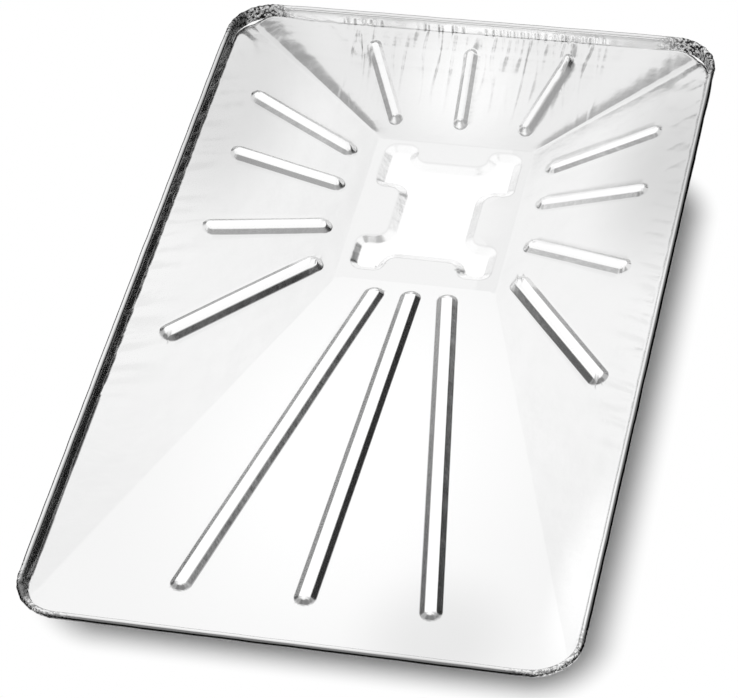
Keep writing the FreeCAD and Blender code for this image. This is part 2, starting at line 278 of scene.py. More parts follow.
def from_foot(place):
    """How far a place lies inside the foot of the step wall, and its place round the rim."""
    across, along = abs(place.x) - (FOOT_X - FOOT_RADIUS), abs(place.y) - (FOOT_Y - FOOT_RADIUS)
    quarter = FOOT_X + FOOT_Y - 2 * FOOT_RADIUS + FOOT_RADIUS * math.pi / 2
    if across > 0 and along > 0:
        inside = FOOT_RADIUS - math.hypot(across, along)
        round_rim = FOOT_Y - FOOT_RADIUS + FOOT_RADIUS * math.atan2(along, across)
    elif FOOT_RADIUS - across < FOOT_RADIUS - along:
        inside, round_rim = FOOT_RADIUS - across, abs(place.y)
    else:
        inside, round_rim = FOOT_RADIUS - along, quarter - abs(place.x)
    if place.x < 0 <= place.y:
        round_rim = 2 * quarter - round_rim
    elif place.x < 0:
        round_rim = 2 * quarter + round_rim
    elif place.y < 0:
        round_rim = 4 * quarter - round_rim
    return inside, round_rim


def bent_ramp(inward, wall, bend):
    """0 to 1 across a flat wall that lies between two small bends."""
    share = min(max(inward / wall, 0), 1)
    bend = bend / wall
    for edge, sign in ((0, 1), (1, -1)):
        near = 1 - abs(inward / wall - edge) / bend
        if near > 0:
            share += sign * bend * near * near / 4
    return share


def near_rib_end(place):
    """Whether a place lies on the wall of a rib's rounded end."""
    for side in SIDES:
        out, along = turned(place.y, place.x, -side["turn"])
        for start, end, half in side["ribs"]:
            axis = (Vector(end) - Vector(start)).normalized()
            ends = ((Vector(start) + axis * half, -axis), (Vector(end) - axis * half, axis))
            for middle, way in ends:
                offset = Vector((along, out)) - middle
                if -RIB_WALL - 1 < offset.length - half < 1 and offset.dot(way) > -2:
                    return True
    return False


def rib_rise(place):
    """The height that the ribs add at a place."""
    rise = 0
    for side in SIDES:
        out, along = turned(place.y, place.x, -side["turn"])
        if out < side["near"]:
            continue
        for start, end, half in side["ribs"]:
            length = (Vector(end) - Vector(start)).length
            axis = (Vector(end) - Vector(start)) / length
            offset = Vector((along, out)) - Vector(start)
            forward = min(max(offset.dot(axis), half), length - half)
            away = (offset - axis * forward).length
            rise = max(rise, RIB_HEIGHT * bent_ramp(half - away, RIB_WALL, RIB_BEND))
    return rise


def fold_rise(place, start, end, wide, narrow, height):
    """The height of a fold that is wide at its start and narrows to its end."""
    start, end = Vector(start), Vector(end)
    axis = end - start
    share = (place - start).dot(axis) / axis.length_squared
    if not -0.15 < share < 1:
        return 0
    away = abs((place - start).cross(axis)) / axis.length
    half = mix(wide, narrow, max(share, 0))
    return height * smooth(1 - away / half) * smooth((1 - share) * 4)


# Folds as start, end, half width at each, and height: up is a ridge and down a crease.
FOLDS = (
    ((-89.4, 322), (-80, 284), 5, 4.5, 2.2), ((79.6, 322), (75, 286), 5, 4.5, 2.2),
    ((-118, 315), (-84, 287), 6, 2.5, 0.55), ((-109.5, 314), (-97, 301), 1.6, 1.2, -0.4),
    ((-100.6, 312), (-92.5, 301.5), 1.6, 1.2, -0.35), ((-97, 290), (-77, 268), 6, 3, -0.3),
    ((-190, 296), (-168, 277), 4, 3, 0.9), ((-191, 284), (-172, 268), 3, 2, -0.6),
    ((-188, 262), (-172, 251), 3, 2, 0.45), ((-187, 237), (-167, 230), 3, 2, 0.4),
    ((-184, 219), (-166, 214), 3, 2, 0.35),
    ((187, 302), (160, 282), 3.5, 2.5, 0.35), ((188, 294), (166, 277), 3, 2, -0.4),
    ((189, 276), (176, 266), 3, 2, 0.6), ((189, 262), (171, 250), 3.5, 2, -0.6),
    ((189, 247), (166, 234), 6, 4, -0.5), ((190, 222), (167, 206), 6, 4, -0.45),
    ((190, 197), (167, 181), 6, 4, -0.4),
)


# Tucks of spare foil beside the two back creases: ends of the crease, width at each, and steepness.
TUCKS = (
    ((-188, 313), (-58, 229), 19, 4, 0.23),
    ((184, 309), (58, 228), 17, 4, 0.14),
)
TUCK_FALL = 1.8


def tuck_rise(place, start, end, wide, narrow, steepness):
    """The height of a tuck: steep at the crease on its front side, and gentle towards the back."""
    start, end = Vector(start), Vector(end)
    axis = end - start
    from_start = place - start
    share = from_start.dot(axis) / axis.length_squared
    in_front = from_start.cross(axis) * axis.x >= 0
    if in_front or not 0 < share < 1:
        return 0
    width = mix(wide, narrow, share)
    across = abs(from_start.cross(axis)) / axis.length / width
    if across < 1:
        profile = 1.5 * across - 0.5 * across ** 3
    else:
        profile = smooth(1 - (across - 1) / TUCK_FALL)
    return steepness * width * profile * smooth(share * 20) * smooth((1 - share) * 9)


# Heights of the corners' gathers, the creases along the back, the soft and the sharp wrinkles at
# the sides, and the broad and the fine unevenness. The front corners are gathered less.
GATHER_HEIGHT, CREASE_HEIGHT = 0.9, 0.42
SOFT_WRINKLE, SHARP_WRINKLE = 1.5, 0.4
BROAD_WAVE, FINE_WAVE = 0.35, 0.07
GATHER_REACH = 48
FRONT_GATHERS, FRONT_CRIMP = 0.55, 0.6


def corner_gathers(place, inside, round_rim):
    """The height of the gathers that run inward from the rim's corners."""
    beyond_x = max(abs(place.x) - (FOOT_X - GATHER_REACH), 0) / GATHER_REACH
    beyond_y = max(abs(place.y) - (FOOT_Y - GATHER_REACH), 0) / GATHER_REACH
    near_corner = smooth(beyond_x) * smooth(beyond_y) * (1 if place.y > 0 else FRONT_GATHERS)
    flutes = noise.noise(Vector((round_rim / 4.5, inside / 30, 3)))
    return GATHER_HEIGHT * near_corner * (1 - 2.2 * abs(flutes)) * smooth(1 - inside / 45)


def back_creases(place):
    """The height of the fine creases along the top of the back slope."""
    if place.y <= 0:
        return 0
    down = FOOT_Y - place.y
    near_back = smooth(down / 3) * smooth(1 - down / 48) * smooth((175 - abs(place.x)) / 30)
    pattern = noise.noise(Vector((place.x / 7, place.y / 45, 11)))
    return CREASE_HEIGHT * near_back * (0.5 - 2 * abs(pattern))


def side_wrinkles(place, inside):
    """The height of the wrinkles that run inward from the rim on the left and the right."""
    near_side = smooth(1 - inside / 38) * smooth((place.y + 130) / 90)
    near_side *= smooth((FOOT_Y - place.y) / 30)
    sweep = (place.y - 0.55 * inside) / 12
    layer = 32 if place.x > 0 else 23
    soft = noise.noise(Vector((sweep, inside / 50, layer)))
    sharp = 0.5 - 2 * abs(noise.noise(Vector((2.1 * sweep, inside / 30, layer + 4))))
    return near_side * (SOFT_WRINKLE * soft + SHARP_WRINKLE * sharp)


def crinkle(place):
    """The height of the folds, wrinkles and soft unevenness of the foil."""
    inside, round_rim = from_foot(place)
    rise = sum(fold_rise(place, *fold) for fold in FOLDS)
    rise += sum(tuck_rise(place, *tuck) for tuck in TUCKS)
    rise += corner_gathers(place, inside, round_rim) + back_creases(place)
    rise += side_wrinkles(place, inside)
    rise += BROAD_WAVE * noise.noise(Vector((place.x / 46, place.y / 60, 31)))
    rise += FINE_WAVE * noise.noise(Vector((place.x / 11, place.y / 13, 37)))
    return rise * smooth(inside / 2 + 0.3)


def slope_height(place):
    """The height of the sheet outside the well."""
    side = (abs(place.x) - FLOOR_X) / (FOOT_X - FLOOR_X)
    back = (place.y - FLOOR_BACK) / (FOOT_Y - FLOOR_BACK)
    front = (FLOOR_FRONT - place.y) / (FLOOR_FRONT + FOOT_Y)
    share = max(side, back, front, 0)
    return FLOOR_Z + FALL * share + rib_rise(place) + crinkle(place) * smooth(share * 12)


def well_drop(place, grow):
    """How far the well's wall has come down at a place: steep in one lobe, gentle elsewhere."""
    steep = smooth((-place.x - 24) / 12) * smooth((PAD_MIDDLE - PAD_WIDTH / 2 + 10 - place.y) / 8)
    return WELL_DEPTH * bent_ramp(-grow, mix(WELL_WALL, STEEP_WALL, steep), WELL_BEND)


# --- Brightness with painted highlight and shade, crumples and pleats -------------------------


# How bright the foil is, from -1 for black to 1 for the brightest. POLISH is the foil's own
# brightness; the other values are painted highlight and painted shade standing in for reflections.
POLISH = 0.70
RIB_TOP_PAINTED_HIGHLIGHT, FRONT_RIB_WALL_PAINTED_SHADE = 0.97, -0.08
BACK_WALL_PAINTED_HIGHLIGHT, BACK_BEAD_PAINTED_SHADE = 1, 0.6
LEFT_WALL_PAINTED_SHADE, OUTER_BEAD_PAINTED_SHADE = -0.56, -0.7
LEDGE_PAINTED_SHADE, RIGHT_LEDGE_PAINTED_SHADE = 0.68, 0.6
# Broad soft patches of painted shade and painted highlight, for reflections of the surroundings:
# middle, half lengths along X and Y, and the change.
PAINTED_LIGHT_SPOTS = (
    ((-175, 215), (58, 150), -0.34), ((182, 190), (66, 135), -0.42), ((-120, 285), (80, 40), -0.05),
    ((0, 275), (60, 60), 0.28), ((0, -110), (150, 240), 0.18), ((95, -290), (60, 70), -0.2),
    ((184, -225), (24, 95), 0.26),
)
PLEATS_HALF, PLEATS_REACH = 115, 72


def patch_painted_light(place):
    """How bright the foil is at a place, with only the broad patches of painted shade and
    highlight.
    """
    shine_with_painted_light = POLISH
    for (x, y), (half_x, half_y), change in PAINTED_LIGHT_SPOTS:
        away = math.hypot((place.x - x) / half_x, (place.y - y) / half_y)
        shine_with_painted_light += change * smooth(1.2 - away)
    return shine_with_painted_light


def rim_painted_light(place):
    """How bright the foil is on the step wall and the bead: painted highlight on the back wall, and
    painted shade on the back bead, inside the left and outside.
    """
    on_back = smooth((place.y - RIM_Y + 40) / 25)
    on_bead = smooth((place.z - BEAD_Z + 2.2) / 1.2)
    # Painted highlight on the back wall and painted shade on the back bead.
    back = mix(BACK_WALL_PAINTED_HIGHLIGHT, BACK_BEAD_PAINTED_SHADE, on_bead)
    inward = place.x + RIM_X
    in_left = smooth((inward - 0.2) / 1.5) * smooth((12 - inward) / 4)
    # Painted shade inside the left wall, standing in for a dark reflection.
    shine_with_painted_light = mix(mix(patch_painted_light(place), back, on_back), LEFT_WALL_PAINTED_SHADE, in_left)
    # Painted shade on the outer side of the bead at the right and the front.
    outer = max(smooth((place.x - RIM_X + 0.7) / 1.2), smooth((-place.y - RIM_Y - 0.4) / 1.2))
    return mix(shine_with_painted_light, OUTER_BEAD_PAINTED_SHADE, outer)


def slope_painted_light(place):
    """How bright the foil is on the slopes: painted highlight on the ribs' tops, painted shade on
    the front ribs' walls.
    """
    rise = rib_rise(place.xy) / RIB_HEIGHT
    # Painted highlight on the ribs' tops.
    shine_with_painted_light = mix(patch_painted_light(place), RIB_TOP_PAINTED_HIGHLIGHT, smooth((rise - 0.8) * 6))
    # Painted shade on the walls of the front ribs.
    front = smooth((FLOOR_FRONT - place.y) / 6)
    on_wall = smooth(12 * rise) * smooth(12 - 12 * rise)
    return mix(shine_with_painted_light, FRONT_RIB_WALL_PAINTED_SHADE, on_wall * front)


def in_well(place):
    """How far a place lies into the well, from 0 on its edge to 1 on its bottom."""
    return smooth((FLOOR_Z - 0.15 - place.z) / 0.9)


def brightness_with_painted_light_at(place):
    """How bright the foil is at a place: its own brightness with painted highlight and painted
    shade.
    """
    if place.z - BEAD_Z > -STEP_HEIGHT and from_foot(place)[0] < 1.2:
        return rim_painted_light(place)
    over_floor = abs(place.x) < FLOOR_X and FLOOR_FRONT < place.y < FLOOR_BACK
    if over_floor and place.z < FLOOR_Z + 1.5:
        # Painted highlight: the well's bottom is full bright; the ledges round it get painted
        # shade.
        return mix(LEDGE_PAINTED_SHADE if place.x < 45 else RIGHT_LEDGE_PAINTED_SHADE, 1, in_well(place))
    return slope_painted_light(place)


def crumple_at(place):
    """How crumpled the foil is at a place: only at the rim's corners."""
    inside, _ = from_foot(place)
    corner = smooth((abs(place.x) - RIM_X + 52) / 30) * smooth((abs(place.y) - RIM_Y + 52) / 30)
    return corner * (1 if place.y > 0 else FRONT_GATHERS) * smooth(1.5 - inside)


def pleats_at(place):
    """How strongly the foil is finely pleated at a place: only along the back."""
    if place.y <= 0:
        return 0
    near_back = smooth((PLEATS_HALF - abs(place.x)) / 22)
    near_back *= smooth(1 - (FOOT_Y - place.y) / PLEATS_REACH)
    below_bead = smooth((BEAD_Z - 1.2 - place.z) / 1.5)
    return near_back * below_bead * smooth(1 - 4 * rib_rise(place.xy))


# --- Pressed sheet ----------------------------------------------------------------------------


FOIL_VALUES = ("shine_with_painted_light", "crumple", "pleats", "along_rim", "from_rim")


def foil_values(place):
    """What the foil's material reads at a place, in the order of FOIL_VALUES."""
    inside, round_rim = from_foot(place)
    along_rim = round_rim - 0.55 * inside * (place.x / FOOT_X) ** 3
    shine_with_painted_light = 0.5 + 0.5 * brightness_with_painted_light_at(place)
    return shine_with_painted_light, crumple_at(place), pleats_at(place), along_rim, inside


def finished(name, work, material):
    """Makes a piece of a mesh made in millimetres, shaded smooth and as thick as the foil."""
    layers = [work.verts.layers.float.new(value) for value in FOIL_VALUES]
    for vertex in work.verts:
        for layer, value in zip(layers, foil_values(vertex.co)):
            vertex[layer] = value
    bmesh.ops.scale(work, vec=(MM, MM, MM), verts=work.verts)
    for face in work.faces:
        face.smooth = True
    mesh = bpy.data.meshes.new(name)
    work.to_mesh(mesh)
    work.free()
    mesh.materials.append(material)
    piece = bpy.data.objects.new(name, mesh)
    bpy.context.scene.collection.objects.link(piece)
    wall = piece.modifiers.new("foil thickness", "SOLIDIFY")
    wall.thickness = FOIL * MM
    wall.offset = -1
    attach(piece, "root")
    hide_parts("foil_pan")
    return piece


def refine(work, wanted, longest):
    """Cuts the edges that are longer than the longest allowed, where they are wanted finer."""
    for _ in range(3):
        edges = [
            edge for edge in work.edges
            if edge.calc_length() > longest and wanted((edge.verts[0].co + edge.verts[1].co) / 2)
        ]
        if not edges:
            return
        bmesh.ops.subdivide_edges(work, edges=edges, cuts=1, use_grid_fill=True)


def in_floor(place):
    """Whether a place lies on the floor round the well."""
    return abs(place.x) < FLOOR_X - LEDGE_ROW / 2 and FLOOR_FRONT < place.y < FLOOR_BACK


def in_wrinkles(place):
    """Whether the foil is finely wrinkled at a place."""
    inside, _ = from_foot(place)
    at_corner = abs(place.x) > FOOT_X - 50 and place.y > FOOT_Y - 50
    low_corner = abs(place.x) > FOOT_X - 34 and place.y < -FOOT_Y + 34
    return at_corner or low_corner or (inside < 30 and place.y > -110) or place.y > FOOT_Y - 40


def band(work, count, rows, place_of):
    """A closed band of faces: place_of gives each vertex its place from its column and row."""
    made = bmesh.ops.create_grid(work, x_segments=count, y_segments=rows, size=1)["verts"]
    for vertex in made:
        column = round((vertex.co.x + 1) / 2 * count) % count
        vertex.co = place_of(column, round((vertex.co.y + 1) / 2 * rows))
    bmesh.ops.remove_doubles(work, verts=made, dist=0.001)


def pressed_sheet(foil):
    """The well, the floor and the slopes with their ribs and folds, out to the step wall."""
    work = bmesh.new()
    lines = columns()

    def slope_place(column, row):
        floor, rim, way, spread = lines[column]
        place = floor - way * LEDGE_ROW if row == 0 else floor.lerp(rim, row_share(spread, row - 1))
        return Vector((place.x, place.y, 0))

    band(work, len(lines), SLOPE_ROWS + 1, slope_place)
    floor_loop = [edge for edge in work.edges if edge.is_boundary and in_floor(edge.verts[0].co)]

    lowest = -WELL_WALL - WELL_BEND
    grows = [mix(lowest, WELL_BEND, row / WELL_ROWS) for row in range(WELL_ROWS + 1)]
    outlines = [spread_evenly(rounded(well_outline(grow)), WELL_COLUMNS) for grow in grows]

    def well_place(column, row):
        place = outlines[row][column]
        return Vector((place.x, place.y, -well_drop(place, grows[row])))

    before = set(work.edges)
    band(work, WELL_COLUMNS, WELL_ROWS, well_place)
    loops = [edge for edge in work.edges if edge.is_boundary and edge not in before]
    bottom = [edge for edge in loops if edge.verts[0].co.z < -WELL_DEPTH / 2]
    top = [edge for edge in loops if edge.verts[0].co.z > -WELL_DEPTH / 2]
    for edges in (bottom, top + floor_loop):
        bmesh.ops.triangle_fill(work, edges=edges, use_beauty=True, normal=(0, 0, 1))
    work.normal_update()
    bmesh.ops.reverse_faces(work, faces=[face for face in work.faces if face.normal.z < 0])
    refine(work, in_wrinkles, WRINKLE_EDGE)
    refine(work, near_rib_end, RIB_END_EDGE)
    for vertex in work.verts:
        vertex.co.z += slope_height(Vector((vertex.co.x, vertex.co.y)))
    return finished("foil_sheet", work, foil)


# --- Rolled rim -------------------------------------------------------------------------------


def rim_stations():
    """Places round the rim, each as the middle of the bead and the way out."""
    stations = []
    for side in SIDES:
        ahead, out = side["rim"][1] - FOOT_RADIUS, side["far"] + FOOT_INSET
        steps = round(2 * ahead / RIM_STEP)
        way = turned(0, 1, side["turn"])
        for step in range(steps):
            stations.append((turned(mix(-ahead, ahead, step / steps), out, side["turn"]), way))
        middle = turned(ahead, out - RIM_RADIUS, side["turn"])
        for step in range(RIM_CORNER_STEPS):
            angle = math.radians(side["turn"] + 90 * step / RIM_CORNER_STEPS)
            spoke = Vector((math.cos(angle), math.sin(angle)))
            stations.append((middle + spoke * RIM_RADIUS, spoke))
    return stations


def rim_section():
    """The step wall and the curl of the bead, as places out from the bead's middle and up."""
    section = []
    for step in range(STEP_ROWS + 1):
        height = mix(-STEP_HEIGHT - 0.5, -0.5, step / STEP_ROWS)
        section.append((STEP_LEAN * height / STEP_HEIGHT - BEAD_RADIUS, height))
    for step in range(CURL_ROWS + 1):
        turn = math.pi - BEAD_WRAP * step / CURL_ROWS
        section.append((BEAD_RADIUS * math.cos(turn), BEAD_RADIUS * math.sin(turn)))
    return section


def crimp(middle, round_rim, height):
    """How far the rim is pressed inward at a place, and how much of its size the bead keeps."""
    corner = smooth((abs(middle.x) - RIM_X + 60) / 35) * smooth((abs(middle.y) - RIM_Y + 60) / 35)
    corner *= 1 if middle.y > 0 else FRONT_CRIMP
    flutes = max(0, 1 - 2.4 * abs(noise.noise(Vector((round_rim / 4.5, height / 9, 3)))))
    pressed = corner * (0.2 + 0.45 * flutes) * smooth((height + STEP_HEIGHT) / 5)
    pressed += 0.18 + 0.3 * noise.noise(Vector((round_rim / 24, height / 12, 41)))
    pressed += 0.1 * noise.noise(Vector((round_rim / 6, height / 4, 47)))
    return max(pressed, 0.02), 0.98 - 0.1 * corner * flutes


def rolled_rim(foil):
    """The step wall and the bead, gathered where the foil was crimped round the corners."""
    stations = rim_stations()
    section = rim_section()

    def rim_place(column, row):
        middle, way = stations[column]
        across, height = section[row]
        _, round_rim = from_foot(middle - way * FOOT_INSET)
        pressed, size = crimp(middle, round_rim, height)
        place = middle + way * (across * size - pressed)
        return Vector((place.x, place.y, BEAD_Z + height * (size if height > 0 else 1)))

    work = bmesh.new()
    band(work, len(stations), len(section) - 1, rim_place)
    bmesh.ops.reverse_faces(work, faces=work.faces)
    return finished("foil_rim", work, foil)


# --- Shader nodes -----------------------------------------------------------------------------


def shader_node(tree, kind, place, **values):
    """A node at a place, with its values set on its sockets by name."""
    node = tree.nodes.new(kind)
    node.location = place
    for name, value in values.items():
        node.inputs[name.replace("_", " ")].default_value = value
    return node


def math_node(tree, operation, place, first, second):
    """A Math node with each input linked or set."""
    node = shader_node(tree, "ShaderNodeMath", place)
    node.operation = operation
    for socket, value in zip(node.inputs, (first, second)):
        if isinstance(value, (int, float)):
            socket.default_value = value
        else:
            tree.links.new(value, socket)
    return node.outputs[0]


def vector_node(tree, operation, place, first, second=(0, 0, 0)):
    """A Vector Math node with its first input linked and its second set."""
    node = shader_node(tree, "ShaderNodeVectorMath", place)
    node.operation = operation
    tree.links.new(first, node.inputs[0])
    node.inputs[1].default_value = second
    return node


def ramp_node(tree, place, value, start, end, low, high):
    """Goes softly from low to high as value goes from start to end."""
    node = shader_node(
        tree, "ShaderNodeMapRange", place,
        From_Min=start, From_Max=end, To_Min=low, To_Max=high,
    )
    node.interpolation_type = "SMOOTHSTEP"
    tree.links.new(value, node.inputs["Value"])
    return node.outputs[0]


def mixed_shaders(tree, share, first, second):
    """Shows the first shader where share is 0 and the second where it is 1."""
    both = shader_node(tree, "ShaderNodeMixShader", (300, 0))
    for source, socket in zip((share, first.outputs[0], second.outputs[0]), both.inputs):
        tree.links.new(source, socket)
    tree.links.new(both.outputs[0], tree.nodes["Material Output"].inputs["Surface"])


# --- Foil material ----------------------------------------------------------------------------


# Roughness, strength of the dents and strength of the grain.
SHEET_FINISH, RIM_FINISH = (0.2, 0.16, 0.06), (0.14, 0.1, 0.03)
PLEAT_HEIGHT = 0.0011
PLEAT_SPACING, PLEAT_LENGTH = 11, 60
# Relief all over the foil: name, scale and detail of its noise, and its height.
RELIEF_LAYERS = (("Dents", 55, 4, 0.002), ("Grain", 320, 3, 0.0006), ("Crumple", 480, 2, 0.0026))


def pleat_height(tree, along, inward):
    """Narrow ridges that run inward from the rim and meet and part, at places round the rim."""
    spread = math_node(tree, "DIVIDE", (-1100, 700), along, PLEAT_SPACING)
    reach = math_node(tree, "DIVIDE", (-1100, 900), inward, PLEAT_LENGTH)
    place = shader_node(tree, "ShaderNodeCombineXYZ", (-900, 800))
    tree.links.new(spread, place.inputs["X"])
    tree.links.new(reach, place.inputs["Y"])
    pattern = shader_node(tree, "ShaderNodeTexNoise", (-700, 800), Scale=1, Detail=0)
    tree.links.new(place.outputs[0], pattern.inputs["Vector"])
    away = math_node(tree, "SUBTRACT", (-500, 800), pattern.outputs["Fac"], 0.5)
    away = math_node(tree, "ABSOLUTE", (-350, 800), away, 0)
    ridge = ramp_node(tree, (-200, 800), away, 0, 0.14, 1, 0)
    patches = shader_node(tree, "ShaderNodeTexNoise", (-700, 1100), Scale=0.45, Detail=1)
    tree.links.new(place.outputs[0], patches.inputs["Vector"])
    patch = ramp_node(tree, (-200, 1100), patches.outputs["Fac"], 0.27, 0.44, 0, 1)
    return math_node(tree, "MULTIPLY", (0, 900), ridge, patch)


def relief_group():
    """Makes the surface uneven: dents and a fine grain, and crumples and pleats where told."""
    group = bpy.data.node_groups.new("foil_relief", "ShaderNodeTree")
    for name in ("Dents", "Grain", "Crumple", "Pleats", "Along Rim", "From Rim"):
        group.interface.new_socket(name=name, in_out="INPUT", socket_type="NodeSocketFloat")
    group.interface.new_socket(name="Normal", in_out="OUTPUT", socket_type="NodeSocketVector")
    given = shader_node(group, "NodeGroupInput", (-1100, 300))
    result = shader_node(group, "NodeGroupOutput", (400, 0))
    place = shader_node(group, "ShaderNodeTexCoord", (-1100, -100))
    normal = None
    for index, (name, scale, detail, distance) in enumerate(RELIEF_LAYERS):
        row = 200 - 300 * index
        pattern = shader_node(group, "ShaderNodeTexNoise", (-800, row), Scale=scale, Detail=detail)
        bump = shader_node(group, "ShaderNodeBump", (-500 + 300 * index, row), Distance=distance)
        group.links.new(place.outputs["Object"], pattern.inputs["Vector"])
        group.links.new(pattern.outputs["Fac"], bump.inputs["Height"])
        group.links.new(given.outputs[name], bump.inputs["Strength"])
        if normal:
            group.links.new(normal, bump.inputs["Normal"])
        normal = bump.outputs["Normal"]
    ridges = pleat_height(group, given.outputs["Along Rim"], given.outputs["From Rim"])
    pleats = shader_node(group, "ShaderNodeBump", (400, 300), Distance=PLEAT_HEIGHT)
    group.links.new(ridges, pleats.inputs["Height"])
    group.links.new(given.outputs["Pleats"], pleats.inputs["Strength"])
    group.links.new(normal, pleats.inputs["Normal"])
    group.links.new(pleats.outputs["Normal"], result.inputs["Normal"])
    return group


def crumple_shade_group():
    """Painted shade in small pits between the crumples, as a level from 0 in a pit to 1."""
    group = bpy.data.node_groups.new("painted_crumple_shade", "ShaderNodeTree")
    group.interface.new_socket(name="Crumple", in_out="INPUT", socket_type="NodeSocketFloat")
    group.interface.new_socket(name="Level", in_out="OUTPUT", socket_type="NodeSocketFloat")
    given = shader_node(group, "NodeGroupInput", (-800, 300))
    result = shader_node(group, "NodeGroupOutput", (400, 0))
    place = shader_node(group, "ShaderNodeTexCoord", (-800, 0))
    pattern = shader_node(group, "ShaderNodeTexNoise", (-600, 0), Scale=420, Detail=2)
    group.links.new(place.outputs["Object"], pattern.inputs["Vector"])
    pit = ramp_node(group, (-400, 0), pattern.outputs["Fac"], 0.47, 0.58, 0, 1)
    depth = math_node(group, "MULTIPLY", (-200, 0), pit, given.outputs["Crumple"])
    level = math_node(group, "SUBTRACT", (0, 0), 1, depth)
    group.links.new(level, result.inputs["Level"])
    return group


def foil_material(name, relief, crumple_shade, roughness, dents, grain):
    """Bright rolled aluminium foil, its colour brighter or darker where highlight and shade are
    painted in.
    """
    material = bpy.data.materials.new(name)
    material.use_nodes = True
    tree = material.node_tree
    shader = tree.nodes["Principled BSDF"]
    shader.inputs["Metallic"].default_value = 1
    shader.inputs["Roughness"].default_value = roughness
    shine_with_painted_light = shader_node(tree, "ShaderNodeAttribute", (-700, 200))
    shine_with_painted_light.attribute_name = "shine_with_painted_light"
    level = shader_node(tree, "ShaderNodeGroup", (-600, 400))
    level.node_tree = crumple_shade
    colour = shader_node(tree, "ShaderNodeMix", (-400, 200))
    colour.data_type = "RGBA"
    colour.inputs["A"].default_value = (0, 0, 0, 1)
    colour.inputs["B"].default_value = (1, 1, 1, 1)
    tree.links.new(shine_with_painted_light.outputs["Fac"], colour.inputs["Factor"])
    # Painted shade: the colour goes near black in the pits between the crumples.
    painted_pit_shade = shader_node(tree, "ShaderNodeMix", (-200, 300))
    painted_pit_shade.data_type = "RGBA"
    painted_pit_shade.inputs["A"].default_value = (0.02, 0.02, 0.02, 1)
    tree.links.new(colour.outputs["Result"], painted_pit_shade.inputs["B"])
    tree.links.new(level.outputs["Level"], painted_pit_shade.inputs["Factor"])
    tree.links.new(painted_pit_shade.outputs["Result"], shader.inputs["Base Color"])
    uneven = shader_node(tree, "ShaderNodeGroup", (-400, -200))
    uneven.node_tree = relief
    uneven.inputs["Dents"].default_value = dents
    uneven.inputs["Grain"].default_value = grain
    for row, name in enumerate(("Crumple", "Pleats", "Along Rim", "From Rim")):
        value = shader_node(tree, "ShaderNodeAttribute", (-700, -100 - 200 * row))
        value.attribute_name = name.lower().replace(" ", "_")
        tree.links.new(value.outputs["Fac"], uneven.inputs[name])
        if name == "Crumple":
            tree.links.new(value.outputs["Fac"], level.inputs[name])
    tree.links.new(uneven.outputs["Normal"], shader.inputs["Normal"])
    return material


# --- Studio -----------------------------------------------------------------------------------


# The floor's shade: its middle and half length along X and Y, how far its edge lies from its core,
# the deep and the light grey of the shadow painted into its colour, and the runs across its edge
# where it grows lighter and then white.
SHADE_X, SHADE_Y = (0.002, RIM_X * MM), (-0.032, 252 * MM)
SHADE_EDGE = 0.045
SHADE_GREYS = (0.48, 0.80)
LIGHTER_RUN = (SHADE_EDGE - 0.030, SHADE_EDGE + 0.008)
WHITE_RUN = (SHADE_EDGE - 0.010, SHADE_EDGE + 0.020)
# The dark strip round the pan: its distance from the bead's middle, and its height.
FLAG_GAP, FLAG_HEIGHT = 0.05, 0.066
# Where the tent round the pan is darker: heading, how near to it the shade begins and is full, the
# heights between which it ends, and its depth. A level heading counts only the way round.
TENT_SHADES = (
    ((0, 0, 1), (-2, -1), (-0.15, 0.45), 0.50),
    ((0.87, 0.50, 0), (0.70, 0.84), (0.45, 0.55), 0.98),
    ((0, -1, 0), (0.72, 0.90), (0.08, 0.24), 0.85),
    ((0.88, -0.15, 0.44), (0.84, 0.96), (2, 3), 0.62),
    ((0.24, -0.50, 0.83), (0.86, 0.96), (2, 3), 0.55),
    ((-0.43, -0.46, 0.78), (0.95, 0.985), (2, 3), 0.62),
    ((-0.94, 0.36, 0.05), (0.92, 0.985), (2, 3), 0.75),
    ((-0.90, -0.35, 0.25), (0.88, 0.97), (2, 3), 0.62),
)
# Soft lamps: name, heading, size and level, all at one distance.
LAMPS = (
    ("high_lamp", (-0.2, 0.74, 0.64), (1.7, 1.4), 0.09),
    ("front_lamp", (-0.21, -0.85, 0.47), (1.5, 0.5), 0.30),
)
LAMP_DISTANCE = 2.2
# The camera: its rise, heading and roll in degrees, its lens, and how far the middle of the rim
# lies across, above and ahead of it, in widths of the rim.
CAMERA_TURN = (45.56, 17.48, -6.737)
CAMERA_LENS = 160.6
CAMERA_PLACE = (0.03681, 0.08042, 6.1745)


def matte_material(name, grey):
    """Plain matte paper or cloth, as the material and its shader."""
    material = bpy.data.materials.new(name)
    material.use_nodes = True
    shader = material.node_tree.nodes["Principled BSDF"]
    shader.inputs["Base Color"].default_value = (grey, grey, grey, 1)
    shader.inputs["Roughness"].default_value = 1
    shader.inputs["Specular IOR Level"].default_value = 0
    return material, shader


def studio_object(name, work, material):
    """An object of the studio, made of a mesh in metres."""
    mesh = bpy.data.meshes.new(name)
    work.to_mesh(mesh)
    work.free()
    mesh.materials.append(material)
    made = bpy.data.objects.new(name, mesh)
    bpy.context.scene.collection.objects.link(made)
    return made


